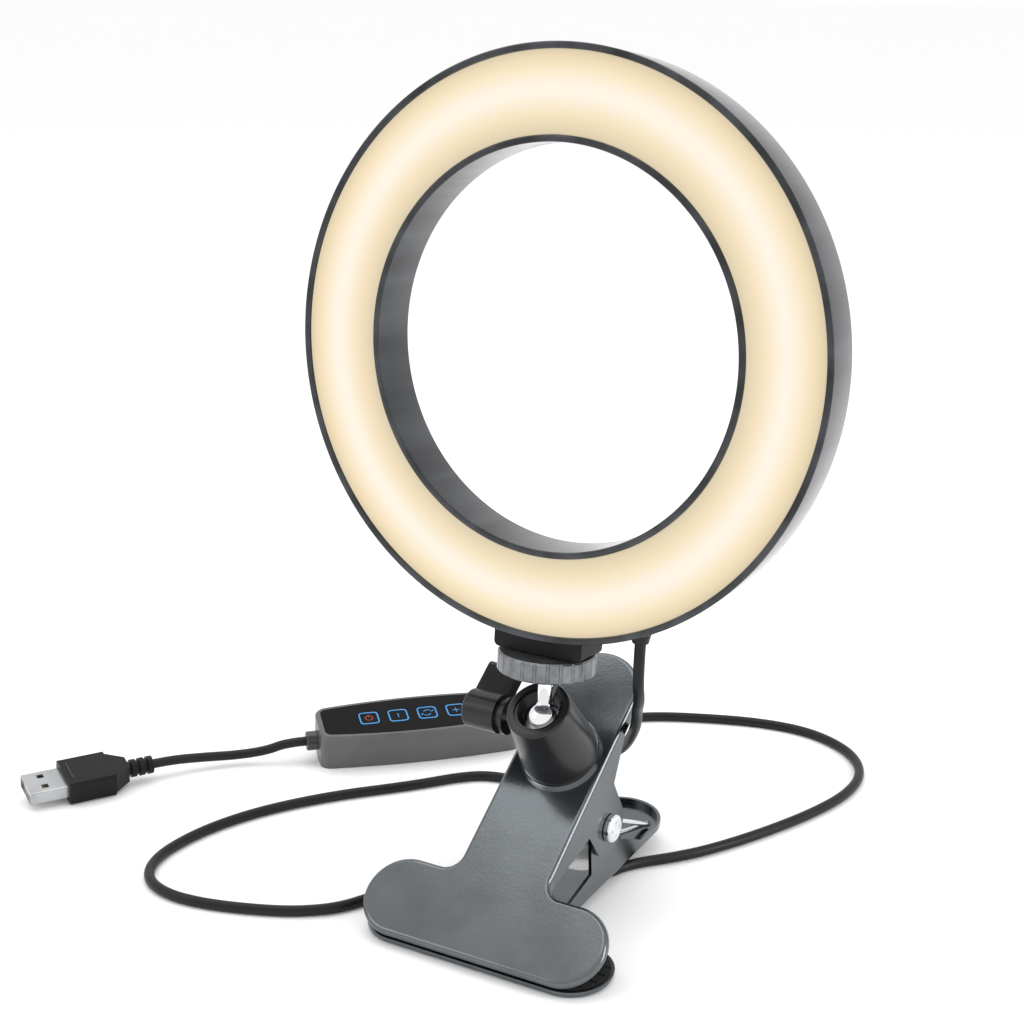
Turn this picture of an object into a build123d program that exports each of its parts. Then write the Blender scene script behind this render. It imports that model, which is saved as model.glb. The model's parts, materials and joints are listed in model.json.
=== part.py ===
from build123d import *
import os
from math import asin, atan2, cos, hypot, pi, radians, sin, sqrt, tan

os.makedirs("parts", exist_ok=True)

# Clip-on ring light with an in-line remote and a USB lead. Millimetres, +Z up,
# +X along the clamp's hinge, +Y from the clamp's mouth towards its handles.
# Origin: bottom centre of the light itself, leaving out the lead and what is on it.

# ---- clamp ----
bar_width = 77.0            # mouth bar, across
bar_depth = 24.0            # mouth bar, front to back
neck_width = 29.0           # upper jaw, outside its side flanges
jaw_length = 104.0
sheet = 1.0                 # pressed steel
edge_round = 1.4            # pressed edge, outside
corner_round = 5.0          # bar to neck, in plan
lip_depth = 2.0             # turned edge round the mouth bar
handle_lip = 2.8            # turned edge round the handle
front_flange = 11.0         # flange depth just before the ear
rear_flange = 10.5          # flange depth just behind the ear
mouth_gap = 5.0             # closed, outer face to outer face at the front
closed_angle = 33.0         # between the two outer faces
sole_tilt = 3.3             # the lower jaw rises towards its handle over the lead
pivot_reach = 57.4          # front edge to pivot, along a jaw
pivot_drop = 19.6           # outer face to pivot
ear_radius = 8.8
pin_radius = 2.0
side_gap = 0.25             # lower flange inside the upper flange
run_gap = 0.05              # radial, pins and screws that turn
pad_gap = 0.15
pad_proud = 0.8             # rubber beyond the lip
pad_groove = 0.5
pad_groove_count = 5
pan_head_radius = 4.2
pan_head_height = 2.0
spring_wire = 1.4           # thickness of the coil
leg_wire = 1.3
spring_radius = 4.4         # centre of the wire
spring_half = 11.8          # half the coil's length
spring_reach = 90.0         # front edge to the tips of the spring's legs, along a jaw
spring_gap = 0.05           # leg to sheet

# ---- ball head ----
barrel_reach = 67.3         # front edge to barrel axis, along the upper jaw
washer_radius = 12.2
washer_height = 1.2
barrel_base_radius = 11.7
barrel_top_radius = 9.4
barrel_height = 22.6
barrel_floor = 6.0
barrel_round = 0.9
bore_radius = 7.2
ball_radius = 5.5
ball_height = 18.0          # ball centre above the upper jaw
ball_gap = 0.07
mouth_radius = 4.3          # where the ball shows
mouth_flare = 6.3
ring_sink = 0.5             # retaining ring below the barrel's rim
stem_radius = 2.2
notch_half = 2.55
seat_floor_gap = 1.6
screw_radius = 2.5          # screw that holds the barrel to the jaw
screw_head_radius = 4.4
screw_head_height = 2.4
driver_hole_radius = 8.4    # in the lower jaw, to reach that screw
knob_height = 15.4          # clamping screw above the upper jaw
knob_screw_radius = 2.0
knob_hub_radius = 5.7
knob_hub_length = 10.6
knob_start = 14.8           # hub's inner face from the barrel axis
knob_wing = 16.0            # wing's tip from the screw's axis
knob_wing_thickness = 4.2
slug_length = 2.4

# ---- lock wheel, stud and shoe ----
lean_back = 5.2             # ring and stem, from vertical
wheel_radius = 14.1
wheel_height = 5.9
wheel_start = 14.9          # wheel's lower face above the ball centre
wheel_ribs = 24
groove_radius = 0.55
stud_radius = 3.15          # 1/4 inch thread, outside
stud_collar = 12.6
shoe_width = 28.0
shoe_depth = 12.4
shoe_start = 21.1           # shoe's lower face above the ball centre
insert_radius = 5.2
insert_height = 3.4
insert_sink = 0.4           # insert above the shoe's lower face
shoe_screw_reach = 10.0
shoe_screw_radius = 0.9
shoe_screw_head = 1.9

# ---- ring ----
ring_rise = 106.8           # ring centre above the ball centre, along the stem
ring_forward = 1.75         # ring's middle plane ahead of the stem
front_radius = 80.9
back_radius = 80.0
rim_width = 1.9
inner_radius = 55.1
ring_depth = 15.2
wall = 1.9
diffuser_depth = 2.0
diffuser_sink = 0.2
diffuser_gap = 0.05
ledge = 1.4
ledge_depth = 1.0
cover_depth = 1.8
cover_gap = 0.15
floor_depth = 1.2           # web between the housing's two walls
cover_screws = 6
boss_radius = 2.6
boss_height = 5.0
cover_screw_radius = 1.1
cover_screw_head = 2.1
cover_head_depth = 0.8
board_inner = 60.5
board_outer = 72.0
board_depth = 1.6
board_lift = 2.0            # board above the housing's floor
board_posts = 6
board_post_radius = 2.2
led_count = 48
led_size = (3.5, 2.8, 0.8)
gland_reach = 29.0          # lead's outlet beside the shoe
gland_back = 1.2            # behind the ring's middle plane
gland_radius = 2.9
gland_length = 3.4
gland_neck = 2.0            # through the wall
gland_tip = 2.3
gland_flange_start = 3.6    # inner flange from the wall's outside
gland_flange_depth = 0.9

# ---- lead ----
cord_diameter = 3.2
cord_lift = 0.05            # lead above the surface it lies on

# ---- remote ----
remote_length = 70.0
remote_width = 22.0
remote_end_width = 17.5
remote_height = 15.0
remote_split = 6.8
remote_keel = 12.0          # slope of the two faces under the remote
remote_corner = 4.0
remote_wall = 1.4
remote_heading = 45.2
remote_x = -91.7
remote_y = 63.9
shell_step = 0.25           # lower shell inside the upper one
panel_inset = 1.6
panel_depth = 0.8
key_size = 6.9
key_corner = 1.6
key_pitch = 10.2
key_first = -17.3           # centre of the power key from the remote's middle
key_gap = 0.15
key_travel = 0.35
key_height = 2.6
pcb_size = (58.0, 13.0, 1.2)
pcb_top = 8.6
switch_size = 4.5
collar_radius = 3.3
collar_length = 4.0
collar_height = 8.0

# ---- USB plug ----
plug_heading = 59.6
plug_roll = 10.0
plug_x = -176.5
plug_y = -38.8
shell_width = 12.0
shell_height = 4.5
shell_length = 12.5
shell_sheet = 0.35
shell_hidden = 4.0
mould_width = 16.0
mould_height = 8.0
mould_length = 15.5
mould_taper = 6.0
relief_radius = 3.0
relief_length = 8.5
relief_grooves = 3

# ---- worked out ----
mid_angle = closed_angle / 2
plate_angle = closed_angle + sole_tilt
lower_width = neck_width - 2 * (sheet + side_gap)
floor_low = -ring_depth / 2 + cover_depth + cover_gap
floor_top = floor_low + floor_depth
board_low = floor_top + board_lift
board_mid = (board_inner + board_outer) / 2
cord_radius = cord_diameter / 2
ring_mid = ring_depth / 2

nodes = {}


# ---- placing ----
collar_end = remote_length / 2 + collar_length
upper_y = -mouth_gap * sin(radians(mid_angle + sole_tilt))
upper_z = mouth_gap * cos(radians(mid_angle + sole_tilt))
upper_place = Pos(0, upper_y, upper_z) * Rot(X=plate_angle)
lower_place = Rot(X=sole_tilt) * Rot(Y=180)
barrel_place = upper_place * Pos(0, barrel_reach, 0)
ball_y = upper_y + barrel_reach * cos(radians(plate_angle)) - ball_height * sin(radians(plate_angle))
ball_z = upper_z + barrel_reach * sin(radians(plate_angle)) + ball_height * cos(radians(plate_angle))
stem_place = Pos(0, ball_y, ball_z) * Rot(X=-lean_back)
ring_place = stem_place * Pos(0, -ring_forward, ring_rise) * Rot(X=90)


# ---- clamp ----
def jaw_outline(width):
    half = width / 2
    bar = Pos(0, bar_depth / 2) * SlotOverall(bar_width, bar_depth)
    neck_end = jaw_length - half
    neck = Pos(0, (bar_depth / 2 + neck_end) / 2) * Rectangle(width, neck_end - bar_depth / 2)
    plan = bar + neck + Pos(0, neck_end) * Circle(half)
    inside = [v for v in plan.vertices() if abs(v.Y - bar_depth) < 0.01 and abs(abs(v.X) - half) < 0.01]
    return fillet(inside, corner_round)


def side_profile(front_depth):
    ear_front = pivot_reach - ear_radius
    ear_back = pivot_reach + ear_radius
    behind = [
        (-5, 5),
        (-5, -lip_depth),
        (bar_depth + 2, -lip_depth),
        (bar_depth + corner_round, -lip_depth - 2),
        (ear_front, -front_depth),
        (ear_front, -pivot_drop),
        (ear_back, -pivot_drop),
        (ear_back + 1, -rear_flange),
        (ear_back + 14, -handle_lip - 0.8),
        (jaw_length - 12, -handle_lip),
        (jaw_length + 5, -handle_lip),
        (jaw_length + 5, 5),
    ]
    face = make_face(Polyline(behind, close=True))
    ear = Pos(pivot_reach, -pivot_drop) * Circle(ear_radius)
    return extrude(Plane.YZ * (face + ear), amount=bar_width, both=True)


def jaw(width, front_depth):
    plan = jaw_outline(width)
    depth = pivot_drop + ear_radius + 1
    block = extrude(plan, amount=-depth)
    top = block.faces().sort_by(Axis.Z)[-1]
    block = fillet(top.edges(), edge_round)
    hollow = Pos(0, 0, -sheet) * extrude(offset(plan, -sheet, kind=Kind.INTERSECTION), amount=-depth)
    body = (block - hollow) & side_profile(front_depth)
    bore = Pos(0, pivot_reach, -pivot_drop) * Rot(Y=90) * Cylinder(pin_radius + run_gap, 2 * neck_width)
    return body - bore


def pad():
    inset = sheet + pad_gap
    plan = Pos(0, bar_depth / 2) * SlotOverall(bar_width - 2 * inset, bar_depth - 2 * inset)
    thickness = lip_depth + pad_proud - sheet
    body = Pos(0, 0, -sheet) * extrude(plan, amount=-thickness)
    pitch = (bar_depth - 2 * inset - 6) / (pad_groove_count - 1)
    for i in range(pad_groove_count):
        y = inset + 3 + i * pitch
        body -= Pos(0, y, -sheet - thickness) * Rot(X=45) * Box(bar_width, pad_groove, pad_groove)
    return body


def pivot_screw():
    head_start = neck_width / 2 + side_gap
    shank = Rot(Y=90) * Cylinder(pin_radius, 2 * head_start + 5)
    head = Pos(head_start, 0, 0) * Rot(Y=90) * Cylinder(
        pan_head_radius, pan_head_height, align=(Align.CENTER, Align.CENTER, Align.MIN))
    head = fillet(head.edges().sort_by(Axis.X)[-1:], pan_head_height * 0.45)
    cross = Pos(head_start + pan_head_height, 0, 0) * (Box(1.6, 4.4, 1.0) + Box(1.6, 1.0, 4.4))
    trim = Pos(head_start + 3 + pan_head_height, 0, 0) * Box(6, 30, 30)
    return (shank - trim) + (head - cross)


def pivot_nut():
    start = -neck_width / 2 - side_gap
    body = Pos(start, 0, 0) * Rot(Y=-90) * extrude(RegularPolygon(3.9, 6), amount=3.0)
    return body - Rot(Y=90) * Cylinder(pin_radius, 2 * neck_width)


def spring_coil():
    tube = Rot(Y=90) * Cylinder(spring_radius + spring_wire / 2, 2 * spring_half)
    return tube - Rot(Y=90) * Cylinder(spring_radius - spring_wire / 2, 4 * spring_half)


def spring_leg(side, turn):
    run = spring_reach - pivot_reach
    rise = pivot_drop - sheet - spring_gap - leg_wire / 2
    distance = hypot(run, rise)
    bearing = atan2(rise, run) + turn * asin(spring_radius / distance)
    start = Vector(side, turn * spring_radius * sin(bearing), -turn * spring_radius * cos(bearing))
    end = Vector(side, run, rise)
    return sweep(Plane(origin=start, z_dir=end - start) * Circle(leg_wire / 2), Line(start, end))


# ---- ball head ----
def ring_solid(outer, inner, low, high):
    tube = Pos(0, 0, low) * Cylinder(outer, high - low, align=(Align.CENTER, Align.CENTER, Align.MIN))
    return tube - Cylinder(inner, 4 * (abs(high) + 1))


def disc(radius, low, high):
    return Pos(0, 0, low) * Cylinder(radius, high - low, align=(Align.CENTER, Align.CENTER, Align.MIN))


def notch():
    slot = Pos(0, barrel_base_radius, ball_height + 10) * Box(2 * notch_half, 2 * barrel_base_radius, 20)
    floor = Pos(0, barrel_base_radius, ball_height) * Rot(X=90) * Cylinder(notch_half, 2 * barrel_base_radius)
    return slot + floor


def knob_bore(radius):
    return Pos(0, 0, knob_height) * Rot(Y=-90) * disc(radius, 0, 3 * washer_radius)


def ball_barrel():
    top = washer_height + barrel_height
    shape = [(0, washer_height), (barrel_base_radius, washer_height), (barrel_top_radius, top), (0, top)]
    body = revolve(Plane.XZ * make_face(Polyline(shape, close=True)), Axis.Z)
    body = fillet(body.edges().sort_by(Axis.Z)[-1:], barrel_round)
    body = chamfer(body.edges().sort_by(Axis.Z)[:1], 0.6)
    body -= disc(bore_radius, barrel_floor, top + 1)
    body -= disc(screw_radius, 0, barrel_floor + 1)
    return body - notch() - knob_bore(knob_screw_radius + run_gap)


def base_washer():
    return ring_solid(washer_radius, screw_radius + 0.2, 0, washer_height)


def base_screw():
    head = disc(screw_head_radius, -sheet - screw_head_height, -sheet)
    head = fillet(head.edges().sort_by(Axis.Z)[:1], 1.0)
    head -= Pos(0, 0, -sheet - screw_head_height) * (Box(4.4, 1.0, 2.0) + Box(1.0, 4.4, 2.0))
    return head + disc(screw_radius, -sheet, barrel_floor)


def ball_seat():
    low = barrel_floor + seat_floor_gap
    body = disc(bore_radius - 0.05, low, knob_height - knob_screw_radius - 0.2)
    return body - Pos(0, 0, ball_height) * Sphere(ball_radius + ball_gap)


def seat_spring_washer():
    return ring_solid(bore_radius - 0.6, 3.2, barrel_floor, barrel_floor + seat_floor_gap)


def retaining_ring():
    low = knob_height + knob_screw_radius + run_gap + 0.6
    top = washer_height + barrel_height - ring_sink
    mouth = ball_height + sqrt((ball_radius + ball_gap) ** 2 - mouth_radius ** 2)
    body = disc(bore_radius, low, top)
    body -= Pos(0, 0, ball_height) * Sphere(ball_radius + ball_gap)
    body -= disc(mouth_radius, ball_height, top)
    flare = [(0, mouth), (mouth_radius, mouth), (mouth_flare, top), (mouth_flare, top + 1), (0, top + 1)]
    body -= revolve(Plane.XZ * make_face(Polyline(flare, close=True)), Axis.Z)
    return body - notch()


def brake_slug():
    start = ball_radius
    body = Pos(0, 0, knob_height) * Rot(Y=-90) * disc(knob_screw_radius - run_gap, 0, start + slug_length)
    return body - Pos(0, 0, ball_height) * Sphere(ball_radius + ball_gap)


def knob_screw():
    start = ball_radius + slug_length + run_gap
    return Pos(0, 0, knob_height) * Rot(Y=-90) * disc(knob_screw_radius, start, knob_start + knob_hub_length - 2.5)


def knob():
    hub = disc(knob_hub_radius, knob_start, knob_start + knob_hub_length)
    hub = fillet(hub.edges().sort_by(Axis.Z)[-1:], 0.9)
    neck = disc(knob_hub_radius - 1.2, knob_start - 2.2, knob_start + 0.2)
    flange = disc(knob_hub_radius - 0.2, knob_start - 2.9, knob_start - 1.9)
    length = knob_hub_length
    wing = Pos(0, knob_wing / 2, knob_start + length / 2) * Box(knob_wing_thickness, knob_wing, length)
    wing = fillet(wing.edges().filter_by(Axis.Z).sort_by(Axis.Y)[-2:], knob_wing_thickness * 0.45)
    body = hub + neck + flange + wing
    body -= disc(knob_screw_radius, 0, knob_start + length - 2.5)
    return Pos(0, 0, knob_height) * Rot(Y=-90) * body


# ---- stem, wheel and shoe ----
def ball_stud():
    end = shoe_start + insert_height + 0.6
    body = Sphere(ball_radius) + disc(stem_radius, 0, stud_collar + 1) + disc(stud_radius, stud_collar, end)
    return chamfer(body.edges().sort_by(Axis.Z)[-1:], 0.5)


def lock_wheel():
    body = disc(wheel_radius, wheel_start, wheel_start + wheel_height)
    body = chamfer(body.edges().filter_by(GeomType.CIRCLE), 0.5)
    for i in range(wheel_ribs):
        groove = Pos(wheel_radius + 0.15, 0, 0) * disc(groove_radius, 0, shoe_start + wheel_height)
        body -= Rot(Z=i * 360 / wheel_ribs) * groove
    return body - Cylinder(stud_radius + run_gap + 0.02, 4 * shoe_start)


def ring_cone():
    low, high = -ring_mid, ring_mid
    shape = [(0, low), (back_radius, low), (front_radius, high), (0, high)]
    return revolve(Plane.XZ * make_face(Polyline(shape, close=True)), Axis.Z)


def mount_shoe():
    rise = ring_rise - shoe_start
    width_top = sqrt(back_radius ** 2 - (shoe_width / 2) ** 2)
    height = rise - width_top + 1.0
    body = Pos(0, -rise + height / 2, -ring_forward) * Box(shoe_width, height, shoe_depth)
    body = fillet(body.edges().filter_by(Axis.Z).sort_by(Axis.Y)[:2], 1.6)
    body -= ring_cone()
    body -= shoe_axis(insert_radius, insert_sink, insert_sink + insert_height)
    body -= shoe_axis(stud_radius + 0.6, -1, shoe_width)
    for side in (-1, 1):
        body -= shoe_axis(shoe_screw_radius, 1.5, shoe_width, side * shoe_screw_reach)
    return body


def shoe_axis(radius, low, high, side=0):
    rise = ring_rise - shoe_start
    return Pos(side, -rise, -ring_forward) * Rot(X=-90) * disc(radius, low, high)


def threaded_insert():
    body = shoe_axis(insert_radius, insert_sink, insert_sink + insert_height)
    return body - shoe_axis(stud_radius + run_gap + 0.02, -1, shoe_width)


def shoe_screw(side):
    wall_at = sqrt((back_radius - wall) ** 2 - (shoe_screw_reach + shoe_screw_head) ** 2)
    head = ring_rise - shoe_start - wall_at + 0.5
    return shoe_axis(shoe_screw_radius, 1.6, head + 0.5, side * shoe_screw_reach) + shoe_axis(
        shoe_screw_head, head, head + 1.3, side * shoe_screw_reach)


# ---- ring: its own frame has +Z to the front and +Y up ----
def ring_housing():
    low, high = -ring_mid, ring_mid
    outer = [(back_radius - wall, low), (back_radius, low), (front_radius, high),
             (front_radius - rim_width, high), (front_radius - rim_width, ledge_top()),
             (front_radius - rim_width - ledge, ledge_top()),
             (front_radius - rim_width - ledge, ledge_top() - ledge_depth),
             (front_radius - rim_width, ledge_top() - ledge_depth - 0.6)]
    inner = [(inner_radius, low), (inner_radius + wall, low), (inner_radius + wall, ledge_top() - ledge_depth - 0.6),
             (inner_radius + rim_width + ledge, ledge_top() - ledge_depth),
             (inner_radius + rim_width + ledge, ledge_top()),
             (inner_radius + rim_width, ledge_top()), (inner_radius + rim_width, high), (inner_radius, high)]
    body = revolve(Plane.XZ * make_face(Polyline(outer, close=True)), Axis.Z)
    body += revolve(Plane.XZ * make_face(Polyline(inner, close=True)), Axis.Z)
    body += ring_solid(back_radius - wall / 2, inner_radius + wall / 2, floor_low, floor_top)
    for place in boss_places():
        body += place * disc(boss_radius, floor_low, floor_top + boss_height)
        body -= place * disc(cover_screw_radius, floor_low, floor_top + boss_height - 0.5)
    for i in range(board_posts):
        body += Rot(Z=i * 360 / board_posts) * Pos(board_mid, 0, 0) * disc(board_post_radius, floor_low, board_low)
    for side in (-1, 1):
        body -= shoe_axis(shoe_screw_radius, 0, ring_rise - shoe_start - inner_radius - 10, side * shoe_screw_reach)
    body -= shoe_axis(stud_radius + 0.6, 0, shoe_width)
    return body - gland_place() * disc(gland_neck, -2 * gland_flange_start, gland_length)


def ledge_top():
    return ring_mid - diffuser_sink - diffuser_depth


def boss_places():
    reach = back_radius - wall - boss_radius - 0.2
    return [Rot(Z=30 + i * 360 / cover_screws) * Pos(reach, 0, 0) for i in range(cover_screws)]


def diffuser():
    outer = front_radius - rim_width - diffuser_gap
    inner = inner_radius + rim_width + diffuser_gap
    return ring_solid(outer, inner, ledge_top(), ledge_top() + diffuser_depth)


def back_cover():
    outer = back_radius - wall - cover_gap
    inner = inner_radius + wall + cover_gap
    body = ring_solid(outer, inner, -ring_mid, -ring_mid + cover_depth)
    for place in boss_places():
        body -= place * disc(cover_screw_radius + 0.15, -ring_depth, floor_low)
        body -= place * disc(cover_screw_head + 0.15, -ring_depth, -ring_mid + cover_head_depth)
    return body


def cover_screw():
    head = disc(cover_screw_head, -ring_mid + 0.05, -ring_mid + cover_head_depth)
    head -= Pos(0, 0, -ring_mid) * (Box(2.4, 0.6, 0.9) + Box(0.6, 2.4, 0.9))
    return head + disc(cover_screw_radius, -ring_mid + cover_head_depth, floor_top + boss_height - 1)


def led_board():
    return ring_solid(board_outer, board_inner, board_low, board_low + board_depth)


def led():
    return Pos(board_mid, 0, board_low + board_depth + led_size[2] / 2) * Box(*led_size)


def gland_place():
    wall_at = sqrt(back_radius ** 2 - gland_reach ** 2)
    return Pos(gland_reach, -wall_at, -gland_back) * Rot(X=90)


def gland():
    flange_end = -gland_flange_start + 0.1
    inner = disc(gland_neck, flange_end - gland_flange_depth, 1)
    flange = disc(gland_radius, flange_end - gland_flange_depth, flange_end)
    root = disc(gland_radius, -gland_radius, 1)
    nose = loft([Plane.XY.offset(0.9) * Circle(gland_radius), Plane.XY.offset(gland_length) * Circle(gland_tip)])
    return gland_place() * (inner + flange) + (gland_place() * (root + nose) - ring_cone())


# ---- remote: its own frame has +X along it, Z=0 at the keel ----
remote_place = Pos(remote_x, remote_y, 0) * Rot(Z=remote_heading) * Rot(X=remote_keel)


def remote_plan(inset):
    half = remote_length / 2 - inset
    mid = remote_width / 2 - inset
    end = remote_end_width / 2 - inset
    far = ThreePointArc((-half, end), (0, mid), (half, end))
    near = ThreePointArc((half, -end), (0, -mid), (-half, -end))
    plan = make_face([far, Line((half, end), (half, -end)), near, Line((-half, -end), (-half, end))])
    return fillet(plan.vertices(), max(remote_corner - inset, 0.6))


def keel(lift):
    slope = tan(radians(remote_keel))
    reach = 2 * remote_width
    shape = [(0, lift), (reach, lift + reach * slope), (reach, 60), (-reach, 60), (-reach, lift + reach * slope)]
    return extrude(Plane.YZ * make_face(Polyline(shape, close=True)), amount=remote_length, both=True)


def remote_top_shell():
    block = extrude(remote_plan(0), amount=remote_height)
    block = chamfer(block.faces().sort_by(Axis.Z)[-1].edges(), 0.7)
    inside = extrude(remote_plan(remote_wall), amount=remote_height - remote_wall - panel_depth)
    body = block - inside - Pos(0, 0, remote_split / 2 - 20) * Box(100, 100, remote_split + 40)
    body -= Pos(0, 0, remote_height - panel_depth) * extrude(remote_plan(panel_inset), amount=5)
    for x in key_places():
        body -= Pos(x, 0, remote_height - 4) * Box(key_size + 2 * key_gap, key_size + 2 * key_gap, 8)
    return body - collars(collar_radius - 0.8)


def remote_bottom_shell():
    block = extrude(remote_plan(shell_step), amount=remote_split)
    inside = extrude(remote_plan(remote_wall + shell_step), amount=remote_height)
    body = (block & keel(0)) - (inside & keel(remote_wall))
    return body - collars(collar_radius - 0.8)


def key_places():
    return [key_first + i * key_pitch for i in range(4)]


def key_blank(size, corner):
    return RectangleRounded(size, size, corner)


def remote_panel():
    low = remote_height - panel_depth
    body = Pos(0, 0, low) * extrude(remote_plan(panel_inset + 0.05), amount=panel_depth)
    for x in key_places():
        hole = key_blank(key_size + 2 * key_gap, key_corner + key_gap)
        body -= Pos(x, 0, low - 1) * extrude(hole, amount=4)
    return body


def key(x):
    return Pos(x, 0, remote_height - key_height) * extrude(key_blank(key_size, key_corner), amount=key_height)


def remote_pcb():
    return Pos(0, 0, pcb_top - pcb_size[2] / 2) * Box(*pcb_size)


def tact_switch(x):
    top = remote_height - key_height - key_travel - 0.05
    height = top - pcb_top
    return Pos(x, 0, pcb_top + height / 2) * Box(switch_size, switch_size, height)


def collars(radius):
    tube = Pos(0, 0, collar_height) * Rot(Y=90) * Cylinder(radius, remote_length + 8)
    return tube - Box(remote_length - 8, 50, 60)


def collar(side):
    half = remote_length / 2
    body = disc(collar_radius, half, half + collar_length)
    body = chamfer(body.edges().sort_by(Axis.Z)[-1:], 0.4)
    body += disc(collar_radius - 0.85, half - 2.6, half + 0.1)
    return Pos(0, 0, collar_height) * Rot(Y=90 * side) * body


def remote_screw(x):
    base = remote_wall + 0.6
    return Pos(x, 0, base) * disc(1.0, 0, pcb_top - pcb_size[2] - base)


# ---- USB plug: its own frame has +X from the tip, Z=0 under the grip ----
plug_lift = mould_width / 2 * sin(radians(plug_roll))
plug_place = Pos(plug_x, plug_y, plug_lift) * Rot(Z=plug_heading) * Rot(X=plug_roll)
plug_mid = mould_height / 2


def usb_shell():
    length = shell_length + shell_hidden
    outer = Pos(length / 2, 0, plug_mid) * Box(length, shell_width, shell_height)
    outer = fillet(outer.edges().filter_by(Axis.X), 0.5)
    inner = Pos(length / 2, 0, plug_mid) * Box(
        length + 2, shell_width - 2 * shell_sheet, shell_height - 2 * shell_sheet)
    body = outer - inner
    for side in (-1, 1):
        body -= Pos(5.6, side * 2.9, plug_mid) * Box(2.2, 2.1, 10)
    return body


def usb_tongue():
    return Pos(1.0 + 7.6, 0, plug_mid - 0.9) * Box(15.2, shell_width - 2 * shell_sheet - 0.3, 1.9)


def usb_contact(y):
    return Pos(1.8 + 3.4, y, plug_mid + 0.05 + 0.1) * Box(6.8, 1.0, 0.2)


def usb_grip():
    start = shell_length
    block = Pos(start + mould_length / 2, 0, plug_mid) * Box(mould_length, mould_width, mould_height)
    block = chamfer(block.edges().filter_by(Axis.X), 0.8)
    taper_start = start + mould_length
    wide = Plane(origin=(taper_start, 0, plug_mid), z_dir=(1, 0, 0)) * Rectangle(
        mould_height - 1.6, mould_width - 1.6)
    narrow = Plane(origin=(taper_start + mould_taper, 0, plug_mid), z_dir=(1, 0, 0)) * Rectangle(
        2 * relief_radius, 2 * relief_radius)
    taper = loft([wide, narrow])
    relief = Pos(taper_start + mould_taper, 0, plug_mid) * Rot(Y=90) * disc(relief_radius, 0, relief_length)
    body = block + taper + relief
    pitch = relief_length / relief_grooves
    for i in range(relief_grooves):
        groove = ring_solid(relief_radius + 1, relief_radius - 0.9, i * pitch, i * pitch + 1.1)
        body -= Pos(taper_start + mould_taper, 0, plug_mid) * Rot(Y=90) * groove
    cavity = Pos(start, 0, plug_mid) * Box(2 * shell_hidden, shell_width, shell_height)
    return body - cavity


# ---- lead: hand-laid points in the final frame ----
def rounded_path(points):
    corners = points[1:-1]
    radii = []
    for before, corner, after in zip(points, corners, points[2:]):
        a = Vector(*corner) - Vector(*before)
        b = Vector(*after) - Vector(*corner)
        turn = a.get_angle(b)
        shorter = min(a.length, b.length)
        radii.append(0.45 * shorter / tan(radians(turn / 2)))
    return FilletPolyline(*points, radius=radii), radii


def cord(name, points):
    path, radii = rounded_path(points)
    start = Plane(origin=path @ 0, z_dir=path % 0)
    tube = sweep(start * Circle(cord_radius), path)
    ideal = pi * cord_radius ** 2 * path.length
    print(name, "length", round(path.length, 1), "volume ratio", round(tube.volume / ideal, 4))
    print("   radii", [round(radius, 1) for radius in radii])
    nodes[name] = tube


def outlet(place, x, y, z):
    where = place * Pos(x, y, z)
    return (where.position.X, where.position.Y, where.position.Z)


def build_cord(gland_at):
    lie = cord_radius + cord_lift
    hang_end = (-49.5, 56.6, lie)
    left_end = (-23.5, -2.1, lie)
    right_end = (17, 29.85, lie)
    cord("cord_hanging", [
        outlet(gland_at, 0, 0, gland_length), outlet(gland_at, 0, 0, gland_length + 11), (27.5, -3.5, 68.5), (23.2, 6.8, 62.4),
        (21.2, 14, 52.5), (15.2, 22, 44), (6.2, 31, 36), (-4, 40, 28), (-14, 47.8, 18.6), (-23.5, 53.4, 9.6), (-33, 56.6, 3.6), (-43, 57.6, lie),
        hang_end])
    cord("cord_floor_left", [
        hang_end, (-57, 55.9, lie), (-64.8, 49.6, lie), (-72.5, 39, lie), (-80, 30, lie), (-91.4, 17.4, lie),
        (-102.7, 1, lie), (-110.3, -15, lie), (-114.3, -32, lie), (-114, -48, lie), (-108, -59, lie),
        (-97, -63.5, lie), (-84, -62.5, lie), (-70, -58, lie), (-58, -52.5, lie), (-48.5, -44.5, lie),
        (-43.5, -34, lie), (-39.5, -23, lie), (-32, -12, lie), left_end])
    cord("cord_under_clamp", [
        left_end, (-16, 6.7, lie), (-6.5, 8.3, lie), (2.5, 8.6, lie), (8.8, 14.3, lie), (11.8, 23.9, lie),
        right_end])
    cord("cord_floor_right", [
        right_end, (24, 37.7, lie), (31.5, 50, lie), (39.4, 66.5, lie), (46.5, 85, lie), (51.2, 104, lie),
        (50, 122, lie), (40, 137, lie), (22, 145.5, lie), (3, 144, lie), (-15, 137.5, lie), (-32, 129.5, lie),
        (-45, 118, lie), (-51, 107.5, 3.0), outlet(remote_place, collar_end + 8, 0, collar_height),
        outlet(remote_place, collar_end, 0, collar_height)])
    plug_end = shell_length + mould_length + mould_taper + relief_length
    cord("cord_plug", [
        outlet(remote_place, -collar_end, 0, collar_height), outlet(remote_place, -collar_end - 7, 0, collar_height),
        (-128.5, 27.2, 5.0), (-136.5, 21.5, 3.6), (-144.5, 13, 4.2), outlet(plug_place, plug_end + 7, 0, plug_mid),
        outlet(plug_place, plug_end, 0, plug_mid)])


# ---- build ----
def add(name, shape, place=None):
    nodes[name] = place * shape if place is not None else shape


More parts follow.
